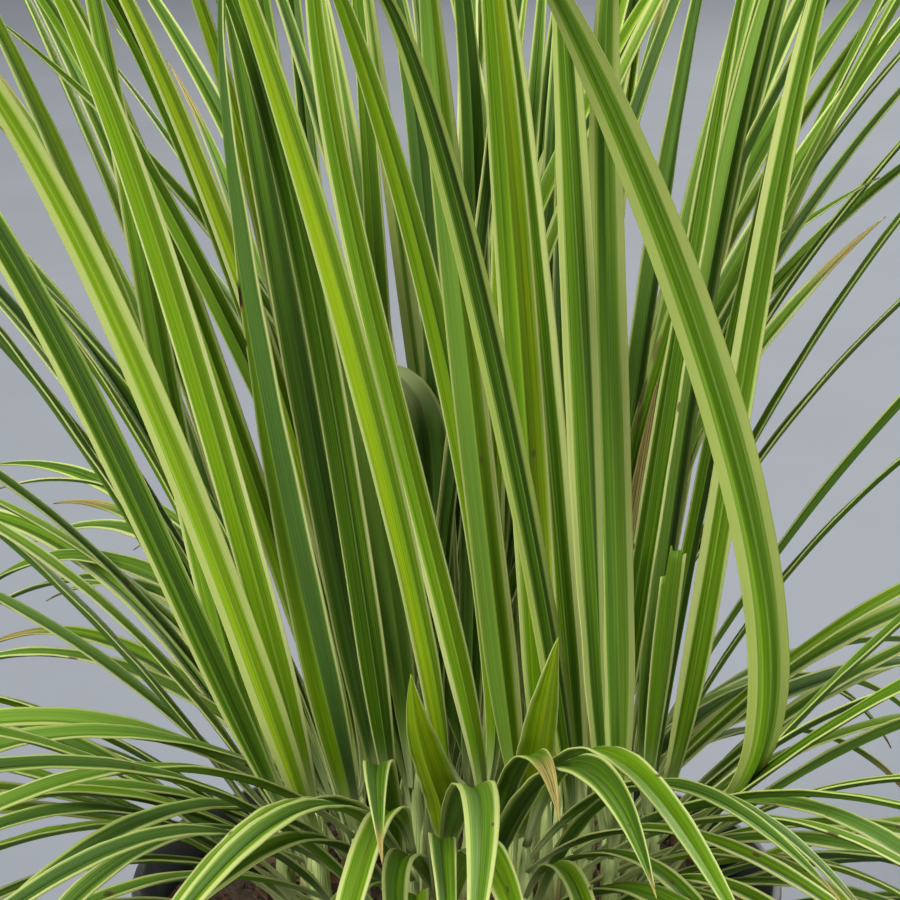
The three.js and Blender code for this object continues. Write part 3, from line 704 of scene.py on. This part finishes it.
def blade_frame(blade, along):
    """The middle line of a blade and its two crosswise directions, at shares of its length."""
    t = along[:, None]
    foot, knee, bend, tip = [np.array(point) for point in blade["curve"]]
    middle = (1 - t) ** 3 * foot + 3 * t * (1 - t) ** 2 * knee + 3 * t * t * (1 - t) * bend + t**3 * tip
    on = (1 - t) ** 2 * (knee - foot) + 2 * t * (1 - t) * (bend - knee) + t * t * (tip - bend)
    on /= np.linalg.norm(on, axis=1)[:, None]
    side = np.array(blade["side"]) - on * (on @ np.array(blade["side"]))[:, None]
    side /= np.linalg.norm(side, axis=1)[:, None]
    up = np.cross(on, side)
    turn = (blade["turn"][0] + (blade["turn"][1] - blade["turn"][0]) * along)[:, None]
    return middle, side * np.cos(turn) + up * np.sin(turn), up * np.cos(turn) - side * np.sin(turn)


def blade_places(blade, across, along, draw):
    """Where the points of a blade's sheet lie: creased at the midrib, each half arched, margins waved."""
    middle, side, face = blade_frame(blade, along)
    beyond = np.clip((along - TAPER_FROM) / (1 - TAPER_FROM), 0, 1)
    opened = smooth(along / OPEN_BY)
    width = blade["width"] * mix(FOOT_WIDTH, 1, opened) * (1 - beyond**TAPER)
    fold = width * mix(*FOLD, opened)
    out = np.abs(across)
    rise = width * SHOULDER * np.sin(math.pi * out) - fold * (1 - out)
    rise -= CREASE * np.exp(-((across / 0.06) ** 2))
    phase = 2 * math.pi * next(draw)
    beat = mix(9, 15, next(draw))
    wave = np.sin(beat * 2 * along + phase) * 0.6 + np.sin(beat * 5.3 * along + 2 * phase + across) * 0.4
    rise += WAVE * wave * out**2 * opened * np.sign(across) * (width / 8)
    return middle + side * (across * width / 2)[:, None] + face * rise[:, None]


def sheath_places(shoot, blade, across, along):
    """Where the points of a blade's sheath lie: rolled round the shoot, open away from the blade."""
    foot = shoot["foot"]
    away = Vector(blade["curve"][1]) - Vector(blade["curve"][0])
    bearing = math.atan2(away.y, away.x)
    tilt = max(0.12, math.atan2(math.hypot(away.x, away.y), away.z))
    leaves_at = blade["curve"][0].z - foot.z
    mouth = leaves_at + min(12, (CORE_RADIUS - FOOT_OFFSET) / math.tan(tilt))
    top = mouth - within(MOUTH_DIP, min(1, leaves_at / PARTING)) * np.abs(across) ** 1.5
    height = mix(-0.6 * CORE_DEPTH, top, along)
    share = np.clip((height + CORE_DEPTH) / (CORE_HEIGHT + CORE_DEPTH), 0, 1)
    radius = mix(CORE_RADIUS, CORE_TOP_RADIUS, share) - 0.6 + SHELL * blade["rank"]
    angle = bearing + across * math.pi * within(WRAP, along)
    corner = 1 + 0.07 * np.cos(3 * (angle - bearing))
    x = foot.x + radius * corner * np.cos(angle)
    y = foot.y + radius * corner * np.sin(angle)
    return np.stack([x, y, foot.z + height], axis=1)


def sheet(name, across, rows, pointed):
    """A flat sheet of cells as a mesh, with where its points are across and along it."""
    made = bmesh.new()
    bmesh.ops.create_grid(made, x_segments=len(across) - 1, y_segments=rows, size=1)
    columns = np.linspace(-1, 1, len(across))
    for vert in made.verts:
        vert.co = (np.interp(vert.co.x, columns, across), (vert.co.y + 1) / 2, 0)
    if pointed:
        end = [vert for vert in made.verts if vert.co.y > 1 - 1e-4]
        bmesh.ops.pointmerge(made, verts=end, merge_co=(0, 1, 0))
    mesh = bpy.data.meshes.new(name)
    made.to_mesh(mesh)
    made.free()
    mesh.shade_smooth()
    places = np.zeros(3 * len(mesh.vertices))
    mesh.vertices.foreach_get("co", places)
    places = places.reshape(-1, 3)
    return mesh, places[:, 0], places[:, 1]


BLADE_SHEET = sheet("blade sheet", ACROSS, BLADE_ROWS, True)
FRONT_SHEET = sheet("front blade sheet", ACROSS, FRONT_ROWS, True)
BROKEN_SHEET = sheet("broken blade sheet", np.linspace(-1, 1, 21), 40, False)
SHEATH_SHEET = sheet("sheath sheet", np.linspace(-1, 1, 13), 6, False)


def scar_field(blade, length, across, along, scar):
    """How far each point lies from a scar's middle, in half widths and half lengths, and how faded it is."""
    over, height, scar_width, scar_length, faded = scar
    shares = np.linspace(0, 1, 200)
    heights = blade_frame(blade, shares)[0][:, 2]
    share = shares[np.argmin(np.abs(heights - height))]
    x = (across - over) * blade["width"] / scar_width
    y = (along - share) * length * 2 / scar_length
    return np.stack([x, y, np.full(len(across), faded)], axis=1)


def by_side(pair, across):
    """The left value left of the midrib and the right value right of it."""
    return np.interp(across, (-0.05, 0.05), pair)


def blade_look(blade, across, along, seed):
    """What the blade material reads at each point."""
    foot, knee, bend, tip = blade["curve"]
    length = (knee - foot).length + (bend - knee).length + (tip - bend).length
    count = len(across)
    scars = (blade["scars"] + [NO_SCAR] * MOST_SCARS)[:MOST_SCARS]
    dry = smooth((along - (1 - 2 * blade["tip dry"])) / max(0.02, blade["tip dry"]))
    look = {
        "across": across,
        "along": along * length + seed * STRIPE_SHIFT,
        # Tone per half: the blade's own green plus painted shade and light; the bluish amount per half: a
        # painted sky reflection.
        "tone": by_side(blade["tones"], across),
        "painted_sheen": by_side(blade["painted_sheens"], across),
        "cream": by_side(blade["creams"], across),
        "olive": np.full(count, blade["olive"]),
        "dry": dry if blade["ends"] == 1 else np.zeros(count),
        "pale": 1 - smooth((along - 0.02) / 0.16),
    }
    for i, scar in enumerate(scars):
        look[f"scar_{i}"] = scar_field(blade, length, across, along, scar)
    return look


def ramp(tree, value, *stops):
    """A colour ramp through (position, colour) stops."""
    node = place(tree, "ValToRGB", Fac=value)
    elements = node.color_ramp.elements
    while len(elements) < len(stops):
        elements.new(1)
    for element, (position, colour) in zip(elements, stops):
        element.position = position
        element.color = colour
    return node.outputs["Color"]


def parallel_veins():
    """Broad stripes, fine stripes and ribs that run along a blade or sheath."""
    tree, given, put = new_group("Parallel veins", {"Across": 0, "Along": 0}, ["Broad", "Fine", "Ribs"])

    def stripes(scale, run, detail):
        x = maths(tree, "MULTIPLY", given["Across"], scale)
        y = maths(tree, "MULTIPLY", given["Along"], run)
        spot = place(tree, "CombineXYZ", X=x, Y=y).outputs[0]
        return place(tree, "TexNoise", Vector=spot, Scale=1, Detail=detail, Roughness=0.6).outputs["Fac"]

    tree.links.new(stripes(4.5, 0.006, 2), put["Broad"])
    tree.links.new(stripes(19, 0.012, 2), put["Fine"])
    swing = maths(tree, "SINE", maths(tree, "MULTIPLY", given["Across"], 42))
    tree.links.new(maths(tree, "MULTIPLY_ADD", swing, 0.5, 0.5), put["Ribs"])
    return tree


veins = parallel_veins()


def read(tree, name, output="Fac"):
    return place(tree, "Attribute", {"attribute_name": name}).outputs[output]


def scarred(tree, name, ragged, colour):
    """The colour with a scar over it: dark with a ragged edge and rusty at its lower end, or faded."""
    field = place(tree, "SeparateXYZ", Vector=read(tree, name, "Vector")).outputs
    over = maths(tree, "MULTIPLY", field["X"], field["X"])
    reach = maths(tree, "SQRT", maths(tree, "MULTIPLY_ADD", field["Y"], field["Y"], over))
    mask = span(tree, maths(tree, "MULTIPLY_ADD", ragged, 1.6, reach), 1.2, 0.7)
    mask = maths(tree, "MULTIPLY", mask, maths(tree, "MULTIPLY_ADD", field["Z"], -0.35, 1))
    bruise = blend(tree, field["Z"], linear(44, 30, 26), linear(104, 84, 58))
    fresh = maths(tree, "SUBTRACT", 1, field["Z"])
    rusty = maths(tree, "MULTIPLY", span(tree, field["Y"], -0.5, -0.8), fresh)
    bruise = blend(tree, rusty, bruise, linear(168, 78, 40))
    return blend(tree, mask, colour, bruise)


def blade_green():
    """The blade: green of its own tone with painted shade and light on each half and a painted bluish sky
    sheen, striped, with cream margins, pale at the foot and dry at the tip.
    """
    material, tree, shader = new_material("Variegated blade")
    across, along = read(tree, "across"), read(tree, "along")
    run = use_group(tree, veins, Across=across, Along=along)
    broad = maths(tree, "SUBTRACT", run["Broad"], 0.5)
    fine = maths(tree, "SUBTRACT", run["Fine"], 0.5)
    inward = maths(tree, "SUBTRACT", 1, maths(tree, "ABSOLUTE", across))
    # The tone attribute holds the blade's own green with painted shade and light on each half.
    tone = maths(tree, "MULTIPLY_ADD", read(tree, "tone"), 0.36, 0.5)
    tone = maths(tree, "MULTIPLY_ADD", broad, 0.85, tone)
    tone = maths(tree, "MULTIPLY_ADD", fine, 0.5, tone)
    tone = maths(tree, "MULTIPLY_ADD", run["Ribs"], -0.05, tone)
    green = ramp(
        tree, tone, (0, linear(38, 62, 5)), (0.25, linear(60, 91, 7)), (0.5, linear(93, 129, 12)),
        (0.75, linear(120, 152, 18)), (1, linear(156, 176, 24)),
    )
    # Painted reflection: a bluish sky sheen mixed into the green, half by half.
    painted_sheen_green = blend(tree, 0.6, green, linear(98, 134, 74))
    green = blend(tree, maths(tree, "MULTIPLY", read(tree, "painted_sheen"), 0.8), green, painted_sheen_green)
    cream_share = maths(tree, "MULTIPLY_ADD", broad, 0.35, read(tree, "cream"))
    cream_share = maths(tree, "MULTIPLY_ADD", fine, 0.12, cream_share)
    into = maths(tree, "SUBTRACT", inward, cream_share)
    edge_line = maths(tree, "SUBTRACT", span(tree, into, -0.02, 0.02), span(tree, into, 0.05, 0.16))
    green = blend(tree, maths(tree, "MULTIPLY", edge_line, 0.35), green, linear(150, 182, 74))
    midrib = span(tree, maths(tree, "ABSOLUTE", across), 0.05, 0.012)
    green = blend(tree, maths(tree, "MULTIPLY", midrib, 0.3), green, linear(142, 172, 84))
    cream = blend(tree, run["Fine"], linear(202, 207, 142), linear(176, 187, 112))
    cream = blend(tree, read(tree, "olive"), cream, linear(156, 172, 84))
    colour = blend(tree, span(tree, into, 0.03, -0.03), green, cream)
    # Pale at the foot; on the bent blade this same pale mix is a painted highlight where it turns to the
    # light.
    pale = blend(tree, run["Fine"], linear(214, 220, 168), linear(158, 178, 104))
    colour = blend(tree, read(tree, "pale"), colour, pale)
    streak = span(tree, run["Fine"], 0.4, 0.6)
    straw = blend(tree, streak, linear(190, 176, 104), linear(100, 86, 44))
    colour = blend(tree, read(tree, "dry"), colour, straw)
    for i in range(MOST_SCARS):
        colour = scarred(tree, f"scar_{i}", fine, colour)
    rough = maths(tree, "MULTIPLY_ADD", run["Fine"], 0.14, 0.36)
    relief = maths(tree, "MULTIPLY_ADD", run["Ribs"], 0.6, run["Fine"])
    bump = place(tree, "Bump", Strength=0.5, Distance=0.12 * MM, Height=relief)
    feed(tree, shader, Base_Color=colour, Roughness=rough, Normal=bump.outputs[0])
    shader.inputs["Specular IOR Level"].default_value = 0.18
    glow = blend(tree, 1, colour, (1.0, 1.0, 0.45, 1), "MULTIPLY")
    through = place(tree, "BsdfTranslucent", Color=glow, Normal=bump.outputs[0])
    both = tree.nodes.new("ShaderNodeMixShader")
    both.inputs[0].default_value = 0.32
    tree.links.new(shader.outputs[0], both.inputs[1])
    tree.links.new(through.outputs[0], both.inputs[2])
    tree.links.new(both.outputs[0], tree.nodes["Material Output"].inputs["Surface"])
    return material


def sheath_skin():
    """The sheath: pale and finely ribbed, brown and papery at its foot."""
    material, tree, shader = new_material("Rolled sheath")
    across, along = read(tree, "across"), read(tree, "along")
    run = use_group(tree, veins, Across=across, Along=along)
    colour = blend(tree, run["Fine"], linear(196, 206, 140), linear(128, 154, 72))
    brown = blend(tree, run["Fine"], linear(150, 112, 70), linear(88, 60, 40))
    colour = blend(tree, read(tree, "dry"), colour, brown)
    rough = maths(tree, "MULTIPLY_ADD", run["Fine"], 0.2, 0.42)
    bump = place(tree, "Bump", Strength=0.6, Distance=0.15 * MM, Height=run["Ribs"])
    feed(tree, shader, Base_Color=colour, Roughness=rough, Normal=bump.outputs[0])
    return material


def lay(made, looks, template, places, look, material_index):
    """Adds one sheet to a shoot, laid out at its places, and keeps its look for later."""
    mesh = template.copy()
    mesh.vertices.foreach_set("co", places.ravel())
    mesh.polygons.foreach_set("material_index", np.full(len(mesh.polygons), material_index))
    made.from_mesh(mesh)
    bpy.data.meshes.remove(mesh)
    looks.append(look)


def shoot_piece(shoot, materials):
    """A shoot's blades and their sheaths as one piece, in the place of its node."""
    made = bmesh.new()
    looks = []
    for blade in shoot["blades"]:
        which = (shoot["number"], blade["rank"])
        seed = shoot["number"] * LEAVES_PER_SHOOT + blade["rank"]
        draw = draws(seed * 977 + 5)
        template, across, along = FRONT_SHEET if blade["front"] else BLADE_SHEET
        if blade["ends"] < 1:
            template, across, along = BROKEN_SHEET
            along = along * blade["ends"]
        if which == TORN:
            along = along * (1 - np.interp(across, *TEAR) / TORN_LENGTH)
        look = blade_look(blade, across, along, seed)
        # Painted highlight: the bent blade is paled near its top, where it turns to the light.
        if which == BENT:
            look["pale"] = SHEEN[2] * smooth((along - SHEEN[0]) / SHEEN[1])
        if which in WITHERED:
            look["dry"] = np.ones(len(across))
            look["pale"] = np.zeros(len(across))
        lay(made, looks, template, blade_places(blade, across, along, draw), look, 0)
        template, across, along = SHEATH_SHEET
        look = dict(blade_look(blade, across, along, seed), along=along * SHEATH_RUN + seed * STRIPE_SHIFT)
        look["dry"] = 1 - smooth((along - 0.1) / mix(0.3, 1.2, blade["rank"] / LEAVES_PER_SHOOT))
        lay(made, looks, template, sheath_places(shoot, blade, across, along), look, 1)
    node = f"shoot_{shoot['number'] + 1:02d}"
    piece = finish(f"leafy_{node}", made, materials)
    for name in looks[0]:
        values = np.concatenate([look[name] for look in looks])
        kind, field = ("FLOAT", "value") if values.ndim == 1 else ("FLOAT_VECTOR", "vector")
        piece.data.attributes.new(name, kind, "POINT").data.foreach_set(field, values.ravel())
    skin = piece.modifiers.new("thickness", "SOLIDIFY")
    skin.thickness = THICKNESS * MM
    skin.offset = 0
    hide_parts(node)


shoots = [make_shoot(i, *at) for i, (at, _) in enumerate(FRONT_SHOOTS)]
for i in range(RULE_SHOOTS):
    radius = CROWN_RADIUS * math.sqrt((i + 0.5) / RULE_SHOOTS)
    spot = heading(i * GOLDEN_ANGLE) * radius
    if len(shoots) < MAX_SHOOTS and all((s["foot"] - spot).xy.length > SHOOT_SPACING for s in shoots):
        shoots.append(make_shoot(len(shoots), spot.x, spot.y))
shoot_materials = [blade_green(), sheath_skin()]
for shoot in shoots:
    rows = FRONT_SHOOTS[shoot["number"]][1] if shoot["number"] < len(FRONT_SHOOTS) else []
    for rank, row in enumerate(rows):
        shoot["blades"].append(front_blade(shoot, rank, *row))
    grow(shoot)
    shoot_piece(shoot, shoot_materials)
for template, _, _ in (BLADE_SHEET, FRONT_SHEET, BROKEN_SHEET, SHEATH_SHEET):
    bpy.data.meshes.remove(template)

# ---- Floor, light and camera ----
# A pale matt floor, one large soft light high on the left, weaker ones to the right, above and behind, and a
# pale surround. The camera looks down a little into the front of the tuft.
FLOOR_RADIUS = 9000
FLOOR_DROP = 0.2  # below the pot's base, so that the two don't coincide
LIGHT_AIM = Vector((0, 0, 0.28))


def matt_floor():
    material, tree, shader = new_material("Pale floor")
    tint = use_group(tree, patches, Scale=1.5, Low=0.3, High=0.7)
    feed(tree, shader, Base_Color=blend(tree, tint["Mask"], linear(104, 109, 117), linear(109, 114, 122)))
    shader.inputs["Roughness"].default_value = 0.9
    return material


made = bmesh.new()
bmesh.ops.create_circle(made, cap_ends=True, segments=96, radius=FLOOR_RADIUS * MM)
floor_mesh = bpy.data.meshes.new("studio_floor")
made.to_mesh(floor_mesh)
made.free()
floor_mesh.transform(Matrix.Translation((0, 0, -FLOOR_DROP * MM)))
floor_mesh.materials.append(matt_floor())
floor = bpy.data.objects.new("studio_floor", floor_mesh)
bpy.context.scene.collection.objects.link(floor)


def soft_light(name, spot, size, power, colour):
    """A square soft light at spot, in metres, aimed at the tuft."""
    light = bpy.data.lights.new(name, "AREA")
    light.size = size
    light.energy = power
    light.color = colour
    lamp = bpy.data.objects.new(name, light)
    lamp.location = spot
    lamp.rotation_euler = (LIGHT_AIM - Vector(spot)).to_track_quat("-Z", "Y").to_euler()
    bpy.context.scene.collection.objects.link(lamp)


soft_light("key_light", (-4.2, -3.7, 3.6), 3.0, 785, (1.0, 0.98, 0.92))
soft_light("front_fill", (3.4, -4.5, 2.2), 2.8, 255, (1.0, 0.99, 0.95))
soft_light("top_light", (0.3, 0.4, 4.5), 2.8, 125, (1.0, 1.0, 0.98))
soft_light("back_light", (2.6, 4.6, 3.2), 3.0, 290, (1.0, 0.99, 0.95))

world = bpy.data.worlds.new("Pale surround")
bpy.context.scene.world = world
world.use_nodes = True
world.node_tree.nodes["Background"].inputs["Color"].default_value = linear(206, 207, 208)
world.node_tree.nodes["Background"].inputs["Strength"].default_value = 0.6
bpy.context.scene.view_settings.view_transform = "Standard"

CAMERA_AIM = Vector((-2, -30, 300))
CAMERA_DISTANCE = 760
CAMERA_ELEVATION = math.radians(14)
CAMERA_LENS = 106.4
camera_data = bpy.data.cameras.new("camera")
camera_data.lens = CAMERA_LENS
camera_data.sensor_width = 36
camera = bpy.data.objects.new("camera", camera_data)
back = Vector((0, -math.cos(CAMERA_ELEVATION), math.sin(CAMERA_ELEVATION)))
camera.location = (CAMERA_AIM + back * CAMERA_DISTANCE) * MM
camera.rotation_euler = (math.pi / 2 - CAMERA_ELEVATION, 0, 0)
bpy.context.scene.collection.objects.link(camera)
bpy.context.scene.camera = camera
